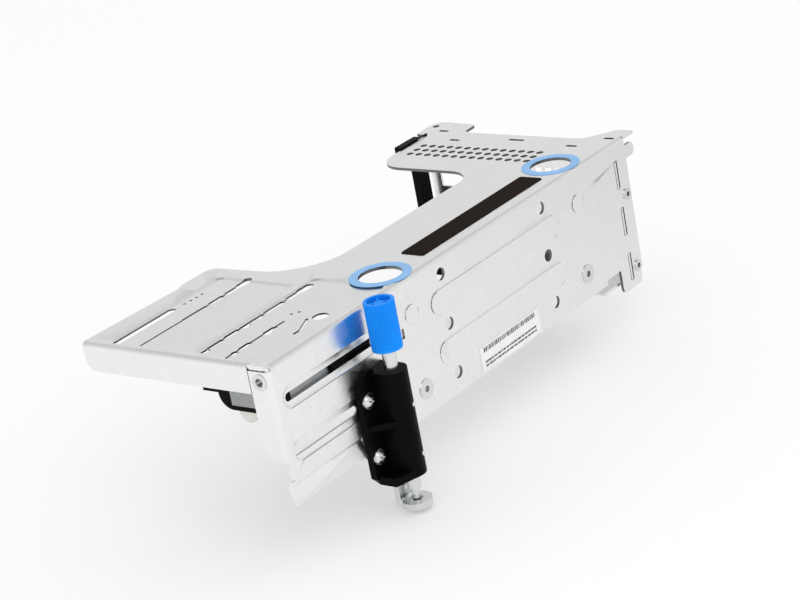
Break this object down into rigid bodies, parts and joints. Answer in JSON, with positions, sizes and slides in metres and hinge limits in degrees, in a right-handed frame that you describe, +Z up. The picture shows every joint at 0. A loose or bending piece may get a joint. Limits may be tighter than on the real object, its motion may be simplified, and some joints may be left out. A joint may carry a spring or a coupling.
{
  "type": "riser cage bracket",
  "caption": "Folded sheet-steel cage for two level expansion cards, with finger rings, a captive thumbscrew on a side block and a sliding card latch.",
  "frame": {"origin": "centre of the threaded hole in the left end flange, at the flange's outer face", "axes": "+X along the front fold towards the end wall, +Y into the cage under the top plate, +Z up out of the top plate"},
  "size_m": [0.2424, 0.1153, 0.0839],
  "materials": {
    "galvanised_steel": "zinc coated sheet with a faint spangle, satin",
    "bright_steel": "turned and plated, bright",
    "grey_steel": "plain strip, dull",
    "black_plastic": "moulded, fine grain",
    "blue_plastic": "moulded, semi gloss",
    "dark_strip": "thin ribbed grip strip",
    "white_label": "smooth blank label",
    "pale_plastic": "moulded, semi gloss"
  },
  "bodies": {
    "frame": {"cage_body": "galvanised_steel", "end_wall": "galvanised_steel", "end_wall_rivets": "bright_steel", "card_guide": "black_plastic", "finger_ring_left": "blue_plastic", "finger_ring_right": "blue_plastic", "grip_strip": "dark_strip", "blank_label": "white_label", "board_standoffs": "bright_steel", "flange_nut": "bright_steel", "screw_block": "black_plastic", "block_screws": "bright_steel", "barrel_pins": "bright_steel", "screw_arm": "bright_steel", "latch_spring": "bright_steel", "spring_seat": "galvanised_steel"},
    "screw_float": {"screw_clip": "grey_steel"},
    "thumbscrew": {"thumbscrew_knob": "blue_plastic", "thumbscrew_shaft": "bright_steel"},
    "latch": {"card_latch": "black_plastic", "latch_plate": "grey_steel", "latch_liner": "grey_steel", "latch_tip": "pale_plastic"}
  },
  "joints": [
    {"name": "screw_travel", "type": "slide", "parent": "frame", "child": "screw_float", "axis": [0, 0, -1], "range_m": [0, 0.0044]},
    {"name": "screw_turn", "type": "hinge", "parent": "screw_float", "child": "thumbscrew", "pos_m": [0.0545, -0.0134, -0.0137], "axis": [0, 0, 1], "continuous": true},
    {"name": "latch_slide", "type": "slide", "parent": "frame", "child": "latch", "axis": [1, 0, 0], "range_m": [0, 0.005], "stiffness_N_per_m": 150, "springref_m": -0.004}
  ]
}
